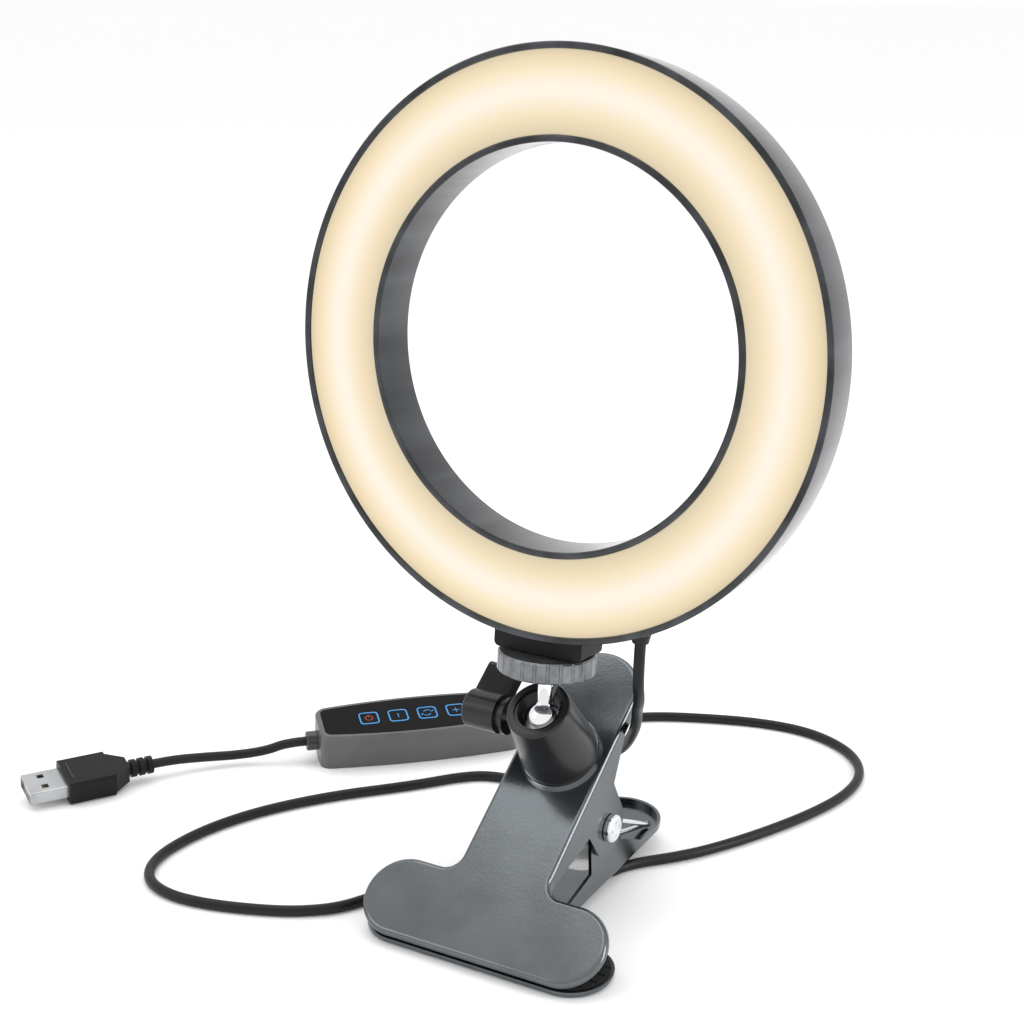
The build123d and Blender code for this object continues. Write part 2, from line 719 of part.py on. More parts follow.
def build_clamp():
    pivot = lower_place * Pos(0, pivot_reach, -pivot_drop)
    upper = jaw(neck_width, front_flange) - Pos(0, barrel_reach, 0) * Cylinder(screw_radius + 0.1, 6)
    add("upper_jaw", upper, upper_place)
    lower = jaw(lower_width, front_flange - 3) - Pos(0, barrel_reach, 0) * Cylinder(driver_hole_radius, 4 * sheet)
    add("lower_jaw", lower, lower_place)
    add("upper_pad", pad(), upper_place)
    add("lower_pad", pad(), lower_place)
    add("pivot_screw", Rot(Y=180) * pivot_screw(), pivot)
    add("pivot_nut", Rot(Y=180) * pivot_nut(), pivot)
    upper_pivot = upper_place * Pos(0, pivot_reach, -pivot_drop)
    side = -spring_half + spring_wire
    hairpin = spring_coil() + spring_leg(side, 1) + spring_leg(side + 1.5 * spring_wire, -1)
    add("torsion_spring", pivot * hairpin + upper_pivot * spring_leg(side, -1))


def build_head():
    add("base_washer", base_washer(), barrel_place)
    add("base_screw", base_screw(), barrel_place)
    add("ball_barrel", ball_barrel(), barrel_place)
    add("seat_spring", seat_spring_washer(), barrel_place)
    add("ball_seat", ball_seat(), barrel_place)
    add("retaining_ring", retaining_ring(), barrel_place)
    add("brake_slug", brake_slug(), barrel_place)
    add("knob_screw", knob_screw(), barrel_place)
    add("tension_knob", knob(), barrel_place)
    add("ball_stud", ball_stud(), stem_place)
    add("lock_wheel", lock_wheel(), stem_place)


def build_ring():
    add("mount_shoe", mount_shoe(), ring_place)
    add("threaded_insert", threaded_insert(), ring_place)
    add("shoe_screws", Compound([shoe_screw(-1), shoe_screw(1)]), ring_place)
    add("ring_housing", ring_housing(), ring_place)
    add("diffuser", diffuser(), ring_place)
    add("back_cover", back_cover(), ring_place)
    add("cover_screws", Compound([place * cover_screw() for place in boss_places()]), ring_place)
    add("led_board", led_board(), ring_place)
    leds = [Rot(Z=(i + 0.5) * 360 / led_count) * led() for i in range(led_count)]
    add("leds", Compound(leds), ring_place)
    add("cord_gland", gland(), ring_place)


def build_remote():
    names = ("power", "minus", "mode", "plus")
    add("remote_top_shell", remote_top_shell(), remote_place)
    add("remote_bottom_shell", remote_bottom_shell(), remote_place)
    add("remote_panel", remote_panel(), remote_place)
    add("remote_pcb", remote_pcb(), remote_place)
    for name, x in zip(names, key_places()):
        add("key_" + name, key(x), remote_place)
    add("tact_switches", Compound([tact_switch(x) for x in key_places()]), remote_place)
    add("remote_collars", Compound([collar(-1), collar(1)]), remote_place)
    add("remote_screws", Compound([remote_screw(-27), remote_screw(27)]), remote_place)


def build_plug():
    add("usb_shell", usb_shell(), plug_place)
    add("usb_tongue", usb_tongue(), plug_place)
    contacts = [usb_contact(y) for y in (-3.5, -1.0, 1.0, 3.5)]
    add("usb_contacts", Compound(contacts), plug_place)
    add("usb_grip", usb_grip(), plug_place)


build_clamp()
build_head()
build_ring()
light = Compound([shape for shape in nodes.values()]).bounding_box()
home = Pos(-(light.min.X + light.max.X) / 2, -(light.min.Y + light.max.Y) / 2, -light.min.Z)
nodes = {name: home * shape for name, shape in nodes.items()}
print("home", home)
build_remote()
build_plug()
build_cord(home * ring_place * gland_place())

for name, shape in nodes.items():
    export_step(shape, f"parts/{name}.step")
print(len(nodes), "nodes", "light", light.size)
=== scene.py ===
import json
import math
import bmesh
import bpy
from mathutils import Matrix, Vector


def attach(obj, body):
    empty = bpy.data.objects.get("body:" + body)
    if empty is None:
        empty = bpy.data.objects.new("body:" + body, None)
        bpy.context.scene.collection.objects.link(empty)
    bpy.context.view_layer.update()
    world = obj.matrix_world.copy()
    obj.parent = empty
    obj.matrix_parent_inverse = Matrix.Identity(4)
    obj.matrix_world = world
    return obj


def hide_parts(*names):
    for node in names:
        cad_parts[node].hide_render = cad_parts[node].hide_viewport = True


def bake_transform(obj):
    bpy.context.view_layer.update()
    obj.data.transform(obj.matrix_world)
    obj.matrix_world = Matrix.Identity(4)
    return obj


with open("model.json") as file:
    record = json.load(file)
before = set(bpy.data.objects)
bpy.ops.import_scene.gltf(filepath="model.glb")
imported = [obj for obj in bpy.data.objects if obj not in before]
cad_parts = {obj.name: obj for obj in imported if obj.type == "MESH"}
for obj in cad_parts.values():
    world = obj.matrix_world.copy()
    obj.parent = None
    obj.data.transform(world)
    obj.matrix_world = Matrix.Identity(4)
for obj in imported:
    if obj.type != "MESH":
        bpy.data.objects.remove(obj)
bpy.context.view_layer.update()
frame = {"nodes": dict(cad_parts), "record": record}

# Clip-on ring light. Metres; lengths are written in millimetres and multiplied by MM.
MM = 0.001

# ---- clamp ----
SOLE_TILT = math.radians(3.3)       # the lower jaw rises towards its handle, over the lead
PLATE_TILT = math.radians(36.3)     # the upper jaw's outer face
PIVOT_REACH = 57.4                  # front edge to pivot, along a jaw
PIVOT_DROP = 19.6                   # a jaw's outer face to pivot

# ---- ring ----
RING_RISE = 106.8                   # ring's centre above the ball's, along the stem
RING_FORWARD = 1.75                 # ring's middle plane ahead of the stem
FRONT_RADIUS = 80.9
BACK_RADIUS = 80.0
INNER_RADIUS = 55.1
RING_HALF = 7.6                     # half the ring's depth
RIM = 1.9                           # housing's walls
COVER_DEPTH = 1.8
COVER_GAP = 0.15
FLOOR_DEPTH = 1.2                   # web between the housing's two walls
DIFFUSER_DEPTH = 2.0
DIFFUSER_SINK = 0.2                 # diffuser's edge below the rim
DIFFUSER_GAP = 0.05

# ---- lead ----
LEAD_RADIUS = 1.6
LEAD_LIE = 1.65                     # lead's middle above the surface it lies on
OUTLET_RUN = 24                     # length of the section at the outlet, from the outlet
STEM_RUN = 56                       # lead above the clamp, from the outlet

# ---- remote and plug ----
REMOTE_SPOT = (-91.7, 63.9, 0)
REMOTE_HEADING = math.radians(45.2)
REMOTE_KEEL = math.radians(12.0)    # slope of the face that it rests on
KEY_TOP = 15.0
KEY_PLACES = {"power": -17.3, "minus": -7.1, "mode": 3.1, "plus": 13.3}
PLUG_SPOT = (-176.5, -38.8, 1.389)
PLUG_HEADING = math.radians(59.6)
PLUG_ROLL = math.radians(10.0)


def placed(origin, x_axis, y_axis, z_axis):
    turn = Matrix((x_axis, y_axis, z_axis)).transposed().to_4x4()
    return Matrix.Translation(origin) @ turn


def laid(spot, heading, roll):
    turn = Matrix.Rotation(heading, 4, "Z") @ Matrix.Rotation(roll, 4, "X")
    return Matrix.Translation(Vector(spot) * MM) @ turn


# ---- places, worked out from the frame's joints ----
JOINTS = {joint["name"]: joint for joint in frame["record"]["behaviour"]["joints"]}
PIVOT = Vector(JOINTS["clamp_open"]["pos_m"])
BALL = Vector(JOINTS["ball_tilt"]["pos_m"])
STEM = Vector(JOINTS["ring_turn"]["axis"]).normalized()
SIDE = Vector((1, 0, 0))
BACK = STEM.cross(SIDE)
FRONT = BACK * -1
STEM_PLACE = placed(BALL, SIDE, BACK, STEM)
RING_CENTRE = BALL + STEM * RING_RISE * MM + FRONT * RING_FORWARD * MM
RING_PLACE = placed(RING_CENTRE, STEM.cross(FRONT), STEM, FRONT)
REMOTE_PLACE = laid(REMOTE_SPOT, REMOTE_HEADING, REMOTE_KEEL)
PLUG_PLACE = laid(PLUG_SPOT, PLUG_HEADING, PLUG_ROLL)


# ---- colour and nodes ----
def linear(hex_colour):
    values = [int(hex_colour[i:i + 2], 16) / 255 for i in (1, 3, 5)]
    return [v / 12.92 if v <= 0.04045 else ((v + 0.055) / 1.055) ** 2.4 for v in values] + [1.0]


def add(tree, kind, sockets=None, **settings):
    made = tree.nodes.new(kind)
    for name, value in settings.items():
        setattr(made, name, value)
    for name, value in (sockets or {}).items():
        if isinstance(value, bpy.types.NodeSocket):
            tree.links.new(value, made.inputs[name])
        else:
            made.inputs[name].default_value = value
    return made


def start_material(name):
    material = bpy.data.materials.new(name)
    material.use_nodes = True
    tree = material.node_tree
    tree.nodes.clear()
    shader = add(tree, "ShaderNodeBsdfPrincipled")
    add(tree, "ShaderNodeOutputMaterial", {"Surface": shader.outputs["BSDF"]})
    return material, shader


def grained(name, colour, second, rough, grain, depth, metallic=0.0, spread=0.08, cloud=14.0, stretch=None,
            shine=0.5, coat=None):
    """Two close colours in soft clouds, roughness that drifts with them by spread, and a relief.

    cloud is the size of the clouds, grain the width of the relief and depth its height, in millimetres.
    shine is the strength of the reflection, and coat the weight and roughness of a clear layer.
    """
    material, shader = start_material(name)
    tree = material.node_tree
    place = add(tree, "ShaderNodeTexCoord").outputs["Object"]
    if stretch:
        place = add(tree, "ShaderNodeMapping", {"Vector": place, "Scale": stretch}).outputs["Vector"]
    clouds = add(tree, "ShaderNodeTexNoise", {"Vector": place, "Scale": 1 / (cloud * MM), "Detail": 3.0})
    fine = add(tree, "ShaderNodeTexNoise", {"Vector": place, "Scale": 1 / (grain * MM), "Detail": 2.0})
    ramp = add(tree, "ShaderNodeValToRGB", {"Fac": clouds.outputs["Fac"]})
    ramp.color_ramp.elements[0].position = 0.35
    ramp.color_ramp.elements[1].position = 0.65
    ramp.color_ramp.elements[0].color = linear(colour)
    ramp.color_ramp.elements[1].color = linear(second)
    drift = add(tree, "ShaderNodeMapRange", {
        "Value": clouds.outputs["Fac"], "From Min": 0.3, "From Max": 0.7,
        "To Min": rough - spread / 2, "To Max": rough + spread / 2})
    bump = add(tree, "ShaderNodeBump", {
        "Height": fine.outputs["Fac"], "Distance": depth * MM, "Strength": 0.6})
    tree.links.new(ramp.outputs["Color"], shader.inputs["Base Color"])
    tree.links.new(drift.outputs["Result"], shader.inputs["Roughness"])
    tree.links.new(bump.outputs["Normal"], shader.inputs["Normal"])
    shader.inputs["Metallic"].default_value = metallic
    shader.inputs["Specular IOR Level"].default_value = shine
    if coat:
        shader.inputs["Coat Weight"].default_value = coat[0]
        shader.inputs["Coat Roughness"].default_value = coat[1]
    return material


# ---- finishes, one function each; a grain finer than 0.3 mm is drawn coarser, so that it shows ----
def powder_coat():
    """Satin metallic powder coat on pressed steel: a fine orange peel that softens reflections."""
    return grained("powder_coated_steel", "#63676a", "#696d70", 0.18, 0.8, 0.03, metallic=0.95,
                   spread=0.04)


def jaw_rubber():
    """Matt nitrile rubber, moulded, with a dusty bloom."""
    return grained("moulded_nitrile_rubber", "#151516", "#1d1d1e", 0.72, 0.5, 0.08, shine=0.3)


def zinc_plate():
    """Bright zinc plate on a cold-headed screw: soft grey with small tool marks."""
    return grained("bright_zinc_plate", "#d4d6d8", "#eceef0", 0.20, 1.2, 0.04, metallic=1.0, cloud=5.0)


def spring_steel():
    """Polished spring wire, drawn, with faint marks."""
    return grained("polished_spring_wire", "#c9cccf", "#e6e8ea", 0.16, 0.8, 0.015, metallic=1.0)


def turned_steel():
    """Turned and polished steel washer: bright, with the faint unevenness that polishing leaves."""
    return grained("polished_steel_washer", "#d9dbdd", "#f0f1f2", 0.14, 0.6, 0.01, metallic=1.0)


def chrome_plate():
    """Chrome plate on a ground ball and stem: a mirror with the faintest haze."""
    return grained("chrome_plate", "#e4e5e7", "#f2f3f4", 0.07, 2.5, 0.004, metallic=1.0, spread=0.03)


def barrel_enamel():
    """Black satin enamel on a turned barrel: smooth, with a soft long highlight."""
    return grained("satin_black_enamel", "#171718", "#1e1e20", 0.34, 0.5, 0.012, metallic=0.25,
                   spread=0.05, shine=0.4, coat=(0.3, 0.22))


def nylon():
    """Natural nylon 66, moulded: milky and waxy."""
    return grained("natural_nylon", "#cfcabc", "#dad6ca", 0.45, 0.6, 0.02)


def gloss_black():
    """Acetal, moulded in a polished tool: black and shiny."""
    return grained("polished_black_acetal", "#0a0a0b", "#101011", 0.2, 2.0, 0.01, spread=0.04, shine=0.35)


def knob_plastic():
    """Glass-filled nylon knob with a satin gloss skin."""
    return grained("satin_nylon_knob", "#141516", "#1c1d1e", 0.30, 0.7, 0.03, shine=0.4)


def anodised_wheel():
    """Dark anodised aluminium, turned: grey, with small bright cuts."""
    return grained("dark_anodised_aluminium", "#6c6e71", "#808286", 0.32, 0.5, 0.05, metallic=0.85,
                   cloud=3.0)


def shoe_plastic():
    """ABS with a fine spark-eroded texture."""
    return grained("textured_abs", "#121314", "#18191a", 0.46, 0.45, 0.04, shine=0.2)


def turned_brass():
    """Turned brass insert."""
    return grained("turned_brass", "#b88a45", "#caa05a", 0.28, 0.4, 0.02, metallic=1.0)


def housing_plastic():
    """ABS, moulded in a polished tool and painted gunmetal, with broad soft streaks of painted reflection:
    light and dark bands drawn into its colour.
    """
    # the two colours, stretched into long bands, are painted reflection streaks that sit under the real
    # gloss of the coat
    return grained("gunmetal_abs_painted_reflections", "#1e2023", "#3f4145", 0.17, 7.0, 0.4, metallic=0.65, cloud=12.0,
                   stretch=(1, 1, 0.12), coat=(0.4, 0.15))


def cover_plastic():
    """ABS back cover with a coarser spark-eroded texture, which hides scratches."""
    return grained("textured_abs_cover", "#1d1e20", "#252628", 0.55, 0.6, 0.08)


def white_solder_mask():
    """Glass-epoxy board under white solder mask."""
    return grained("white_solder_mask", "#e6e8e4", "#f2f3f0", 0.35, 1.5, 0.01)


def led_lens():
    """Yellow phosphor under a clear resin dome."""
    return grained("led_phosphor", "#f1c94a", "#f8dc78", 0.25, 0.8, 0.01)


def lead_jacket():
    """Soft PVC jacket, extruded: satin black, with a faint ripple left by the wires inside."""
    return grained("extruded_soft_pvc", "#0b0b0c", "#121213", 0.42, 1.4, 0.02, shine=0.3)


def remote_plastic():
    """ABS in a lightly textured tool: dark warm grey, satin."""
    return grained("satin_abs_remote", "#565658", "#5e5e60", 0.34, 0.4, 0.03)


def panel_gloss():
    """Polycarbonate label sheet, gloss black on its face."""
    return grained("gloss_polycarbonate_sheet", "#070708", "#0b0b0d", 0.12, 3.0, 0.006, spread=0.03,
                   shine=0.1)


def collar_plastic():
    """Polished PVC collars where the lead enters the remote."""
    return grained("satin_pvc_collar", "#2e2e30", "#3c3c3f", 0.24, 0.8, 0.02)


def drawn_steel():
    """Nickel-plated drawn steel sheet with a fine satin grain."""
    return grained("nickel_plated_sheet", "#a6a8aa", "#bcbec0", 0.26, 0.5, 0.01, metallic=0.9)


def gold_plate():
    """Gold-plated contacts."""
    return grained("gold_plate", "#d9aa45", "#e8c46a", 0.20, 0.5, 0.005, metallic=1.0)


def plug_plastic():
    """Moulded PVC grip with a fine matt texture."""
    return grained("textured_pvc_grip", "#101211", "#161817", 0.42, 0.35, 0.03, shine=0.18)


def tongue_plastic():
    """White PBT tongue."""
    return grained("white_pbt", "#dfe0de", "#ebebe9", 0.40, 0.8, 0.01)


def blue_ink():
    """Blue screen-printed ink, slightly uneven."""
    return grained("blue_printed_ink", "#2f86c8", "#3f9bdd", 0.40, 0.3, 0.01, cloud=2.0)


def red_ink():
    """Red screen-printed ink."""
    return grained("red_printed_ink", "#8f2a2c", "#a63335", 0.40, 0.3, 0.01, cloud=2.0)


def lit_diffuser():
    """Opal acrylic, lit from behind by a ring of diodes: brightest over them, cream towards both edges."""
    material, shader = start_material("lit_opal_acrylic")
    tree = material.node_tree
    place = add(tree, "ShaderNodeTexCoord").outputs["Object"]
    flat = add(tree, "ShaderNodeVectorMath", {0: place, 1: (1, 1, 0)}, operation="MULTIPLY")
    reach = add(tree, "ShaderNodeVectorMath", {0: flat.outputs["Vector"]}, operation="LENGTH")
    across = add(tree, "ShaderNodeMapRange", {
        "Value": reach.outputs["Value"],
        "From Min": (INNER_RADIUS + RIM) * MM, "From Max": (FRONT_RADIUS - RIM) * MM})
    ramp = add(tree, "ShaderNodeValToRGB", {"Fac": across.outputs["Result"]})
    stops = ramp.color_ramp
    stops.interpolation = "B_SPLINE"
    shades = [(0.0, "#cfc2a4"), (0.10, "#e2d0ae"), (0.24, "#efdab4"), (0.42, "#f7ecd8"),
              (0.57, "#f8f0e3"), (0.76, "#f4e1bd"), (0.91, "#e6d1ab"), (1.0, "#cdc0a2")]
    stops.elements[0].position = 0.0
    stops.elements[0].color = linear(shades[0][1])
    stops.elements[1].position = 1.0
    stops.elements[1].color = linear(shades[-1][1])
    for position, shade in shades[1:-1]:
        stops.elements.new(position).color = linear(shade)
    grain = add(tree, "ShaderNodeTexNoise", {"Vector": place, "Scale": 1 / (0.6 * MM)})
    bump = add(tree, "ShaderNodeBump", {
        "Height": grain.outputs["Fac"], "Distance": 0.01 * MM, "Strength": 0.4})
    tree.links.new(ramp.outputs["Color"], shader.inputs["Emission Color"])
    tree.links.new(bump.outputs["Normal"], shader.inputs["Normal"])
    shader.inputs["Base Color"].default_value = linear("#2a2721")
    shader.inputs["Emission Strength"].default_value = 1.0
    shader.inputs["Roughness"].default_value = 0.45
    return material


FINISHES = {
    "jaw_paint": powder_coat(),
    "jaw_rubber": jaw_rubber(),
    "zinc": zinc_plate(),
    "spring_steel": spring_steel(),
    "bright_steel": turned_steel(),
    "barrel_black": barrel_enamel(),
    "nylon": nylon(),
    "ring_black": gloss_black(),
    "knob_plastic": knob_plastic(),
    "stud_chrome": chrome_plate(),
    "wheel_black": anodised_wheel(),
    "shoe_plastic": shoe_plastic(),
    "insert_brass": turned_brass(),
    "housing_plastic": housing_plastic(),
    "diffuser_lit": lit_diffuser(),
    "cover_plastic": cover_plastic(),
    "board": white_solder_mask(),
    "led_lens": led_lens(),
    "lead_jacket": lead_jacket(),
    "remote_plastic": remote_plastic(),
    "panel_gloss": panel_gloss(),
    "switch_black": gloss_black(),
    "collar_plastic": collar_plastic(),
    "key_gloss": panel_gloss(),
    "plug_steel": drawn_steel(),
    "tongue_plastic": tongue_plastic(),
    "gold_contact": gold_plate(),
    "plug_plastic": plug_plastic(),
}


def dress_cad():
    for part in frame["record"]["subparts"]:
        thing = frame["nodes"][part["node"]]
        for holder in thing.material_slots:
            holder.material = FINISHES[part["material_slot"]]


# ---- meshes ----
def piece(name, mesh, place, finish, body, stands_for=(), sharp=35.0):
    """A named piece. finish is a material or the name of a slot; body is None where the piece is attached to
    no body.
    """
    shape = bmesh.new()
    shape.from_mesh(mesh)
    bmesh.ops.recalc_face_normals(shape, faces=shape.faces)
    for face in shape.faces:
        face.smooth = True
    for edge in shape.edges:
        edge.smooth = len(edge.link_faces) == 2 and edge.calc_face_angle(0) < math.radians(sharp)
    shape.to_mesh(mesh)
    shape.free()
    thing = bpy.data.objects.new(name, mesh)
    bpy.context.scene.collection.objects.link(thing)
    thing.matrix_world = place
    mesh.materials.append(finish if isinstance(finish, bpy.types.Material) else FINISHES[finish])
    if stands_for:
        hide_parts(*stands_for)
    if body:
        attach(thing, body)
    return thing


def lathe(name, outline, segments=160):
    """A closed outline of (radius, height) in millimetres, turned about Z. Points on the axis are shared."""
    mesh = bpy.data.meshes.new(name)
    shape = bmesh.new()
    turns = [2 * math.pi * i / segments for i in range(segments)]
    rings = []
    for radius, height in outline:
        if radius == 0:
            rings.append([shape.verts.new((0, 0, height * MM))] * segments)
            continue
        rings.append([shape.verts.new((radius * MM * math.cos(a), radius * MM * math.sin(a), height * MM))
                      for a in turns])
    for near, far in zip(rings, rings[1:] + rings[:1]):
        for i in range(segments):
            j = (i + 1) % segments
            corners = list(dict.fromkeys((near[i], near[j], far[j], far[i])))
            if len(corners) > 2:
                shape.faces.new(corners)
    shape.to_mesh(mesh)
    shape.free()
    return mesh


def arc(centre, radius, first, last, count=6):
    """Points on an arc in an outline, in degrees."""
    steps = [math.radians(first + (last - first) * i / count) for i in range(count + 1)]
    return [(centre[0] + radius * math.cos(a), centre[1] + radius * math.sin(a)) for a in steps]


def tube_mesh(name, points, radius, sides=20):
    """A round tube along points in metres, with both ends closed."""
    mesh = bpy.data.meshes.new(name)
    shape = bmesh.new()
    turns = [2 * math.pi * k / sides for k in range(sides)]
    rings = []
    side = None
    for i, point in enumerate(points):
        ahead = (points[min(i + 1, len(points) - 1)] - points[max(i - 1, 0)]).normalized()
        if side is None:
            side = ahead.orthogonal()
        side = (side - ahead * side.dot(ahead)).normalized()
        other = ahead.cross(side)
        rings.append([shape.verts.new(point + (side * math.cos(a) + other * math.sin(a)) * radius)
                      for a in turns])
    for near, far in zip(rings, rings[1:]):
        for k in range(sides):
            j = (k + 1) % sides
            shape.faces.new((near[k], near[j], far[j], far[k]))
    shape.faces.new(rings[0])
    shape.faces.new(rings[-1])
    shape.to_mesh(mesh)
    shape.free()
    return mesh


def ribbon(name, points, width, low, high, closed):
    """A flat strip along points in a plane, in millimetres, from height low to height high."""
    mesh = bpy.data.meshes.new(name)
    shape = bmesh.new()
    count = len(points)
    rows = []
    for i, (x, y) in enumerate(points):
        before = points[i - 1] if closed or i else points[0]
        after = points[(i + 1) % count] if closed or i < count - 1 else points[-1]
        along = Vector((after[0] - before[0], after[1] - before[1])).normalized()
        across = Vector((-along.y, along.x)) * width / 2
        corners = [(x + across.x, y + across.y, low), (x - across.x, y - across.y, low),
                   (x - across.x, y - across.y, high), (x + across.x, y + across.y, high)]
        rows.append([shape.verts.new(Vector(c) * MM) for c in corners])
    following = rows[1:] + rows[:1] if closed else rows[1:]
    for near, far in zip(rows, following):
        for k in range(4):
            shape.faces.new((near[k], near[(k + 1) % 4], far[(k + 1) % 4], far[k]))
    if not closed:
        shape.faces.new(rows[0])
        shape.faces.new(rows[-1])
    shape.to_mesh(mesh)
    shape.free()
    return mesh


def smooth_through(name, points, resolution=8):
    """Points read back from a NURBS spline that has the given points as its control points."""
    curve = bpy.data.curves.new(name, "CURVE")
    curve.dimensions = "3D"
    curve.resolution_u = resolution
    spline = curve.splines.new("NURBS")
    spline.points.add(len(points) - 1)
    for control, point in zip(spline.points, points):
        control.co = (*point, 1)
    spline.order_u = 3
    spline.use_endpoint_u = True
    holder = bpy.data.objects.new(name, curve)
    bpy.context.scene.collection.objects.link(holder)
    bpy.context.view_layer.update()
    read = bpy.data.meshes.new_from_object(holder.evaluated_get(bpy.context.evaluated_depsgraph_get()))
    line = [vertex.co.copy() for vertex in read.vertices]
    bpy.data.objects.remove(holder)
    bpy.data.meshes.remove(read)
    return line


# ---- camera ----
def camera():
    azimuth = math.radians(30.42)
    pitch = math.radians(17.34)
    roll = 0.00666
    spot = Vector((245.83, -446.57, 277.53)) * MM
    field = math.radians(30.0155)
    ahead = Vector((-math.sin(azimuth) * math.cos(pitch), math.cos(azimuth) * math.cos(pitch),
                    -math.sin(pitch)))
    right = Vector((math.cos(azimuth), math.sin(azimuth), 0))
    up = right.cross(ahead)
    right_rolled = right * math.cos(roll) + up * math.sin(roll)
    up_rolled = up * math.cos(roll) - right * math.sin(roll)
    data = bpy.data.cameras.new("camera")
    data.angle = field
    data.clip_start = 0.01
    thing = bpy.data.objects.new("camera", data)
    thing.matrix_world = placed(spot, right_rolled, up_rolled, -ahead)
    bpy.context.scene.collection.objects.link(thing)
    bpy.context.scene.camera = thing


# ---- lead: the route's points, in millimetres ----
HANGING = [
    (29.0, -7.351, 87.748), (29.0, -8.348, 76.793), (27.2, -3.3, 68.5), (22.0, 6.0, 61.8), (18.2, 13.4, 53),
    (12.2, 21.7, 44.2), (5.2, 31, 36), (-4, 40, 28), (-14, 47.8, 18.6), (-23.5, 53.4, 9.6), (-33, 56.6, 3.6),
    (-43, 57.6, LEAD_LIE)]
LEFT_LOOP = [
    (-57, 55.9), (-64.8, 49.6), (-72.5, 39), (-80, 30), (-91.4, 17.4), (-102.7, 1), (-110.3, -15),
    (-114.3, -32), (-114, -48), (-108, -59), (-97, -63.5), (-84, -62.5), (-70, -58), (-58, -52.5),
    (-48.5, -44.5), (-43.5, -34), (-39.5, -23), (-32, -12)]
UNDER_CLAMP = [(-16, 6.7), (-6.5, 8.3), (2.5, 8.6), (8.8, 14.3), (11.8, 23.9)]
RIGHT_LOOP = [
    (24, 37.7), (31.5, 50), (39.4, 66.5), (46.5, 85), (51.2, 104), (50, 122), (40, 137), (22, 145.5),
    (3, 144), (-15, 137.5), (-32, 129.5), (-45, 118)]
INTO_REMOTE = [(-51, 107.5, 3.0), (-57.402, 96.078, 7.825), (-63.039, 90.401, 7.825)]
TO_PLUG = [
    (-118.001, 35.055, 7.825), (-122.933, 30.088, 7.825), (-128.5, 27.2, 5.0), (-136.5, 21.5, 3.6),
    (-144.5, 13, 4.2), (-150.852, 3.543, 5.328), (-154.394, -2.495, 5.328)]


def cut(line, reach):
    """The first index at least that far along the line, in metres."""
    total = 0.0
    for i, (a, b) in enumerate(zip(line, line[1:])):
        total += (b - a).length
        if total >= reach:
            return i + 1
    return len(line) - 1


def lead():
    """Two short sections, at the ring's outlet and beside the stem, then the free lead to the remote."""
    lying = [(x, y, LEAD_LIE) for x, y in LEFT_LOOP + UNDER_CLAMP + RIGHT_LOOP]
    route = [Vector(p) * MM for p in HANGING + lying + INTO_REMOTE]
    line = smooth_through("lead_route", route, 12)
    first = cut(line, OUTLET_RUN * MM)
    second = cut(line, STEM_RUN * MM)
    sections = [("lead_at_outlet", line[:first + 1], "ring_head", "stud"),
                ("lead_beside_stem", line[first:second + 1], "stud", "clamp_upper"),
                ("lead_to_remote", line[second:], "clamp_upper", "clamp_lower")]
    for name, points, upper, lower in sections:
        mesh = tube_mesh(name, points, LEAD_RADIUS * MM)
        made = piece(name, mesh, Matrix.Identity(4), "lead_jacket", None, (), 60.0)
        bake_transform(made)
    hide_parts("cord_hanging", "cord_floor_left", "cord_under_clamp", "cord_floor_right")


def lead_to_plug():
    line = smooth_through("plug_route", [Vector(p) * MM for p in TO_PLUG], 12)
    mesh = tube_mesh("lead_to_plug", line, LEAD_RADIUS * MM)
    made = piece("lead_to_plug", mesh, Matrix.Identity(4), "lead_jacket", "clamp_lower", ["cord_plug"], 60.0)


# ---- ring ----
def ring_housing():
    """One outline round both walls, the floor between them and the ledges that carry the diffuser."""
    low, high = -RING_HALF, RING_HALF
    soft = 0.35             # rounds on the edges that a hand meets
    lip = 0.2               # round on the rim beside the diffuser
    ledge = 1.4
    ledge_depth = 1.0
    ledge_root = 1.6        # where the ledge's slope meets the wall, below the seat
    floor_low = low + COVER_DEPTH + COVER_GAP
    floor_top = floor_low + FLOOR_DEPTH
    seat = high - DIFFUSER_SINK - DIFFUSER_DEPTH
    outer_wall = FRONT_RADIUS - RIM
    back_wall = BACK_RADIUS - RIM
    inner_wall = INNER_RADIUS + RIM
    outline = [(back_wall, floor_low), (back_wall, low)]
    outline += arc((BACK_RADIUS - soft, low + soft), soft, -90, 0)
    outline += arc((FRONT_RADIUS - soft, high - soft), soft, 0, 90)
    outline += arc((outer_wall + lip, high - lip), lip, 90, 180, 3)
    outline += [(outer_wall, seat), (outer_wall - ledge, seat), (outer_wall - ledge, seat - ledge_depth),
                (outer_wall, seat - ledge_root), (back_wall, floor_top), (inner_wall, floor_top),
                (inner_wall, seat - ledge_root), (inner_wall + ledge, seat - ledge_depth),
                (inner_wall + ledge, seat), (inner_wall, seat)]
    outline += arc((inner_wall - lip, high - lip), lip, 0, 90, 3)
    outline += arc((INNER_RADIUS + soft, high - soft), soft, 90, 180)
    outline += arc((INNER_RADIUS + soft, low + soft), soft, 180, 270)
    outline += [(inner_wall, low), (inner_wall, floor_low)]
    piece("housing_shell", lathe("housing_shell", outline, 256), RING_PLACE, "housing_plastic", "ring_head",
          ["ring_housing"])


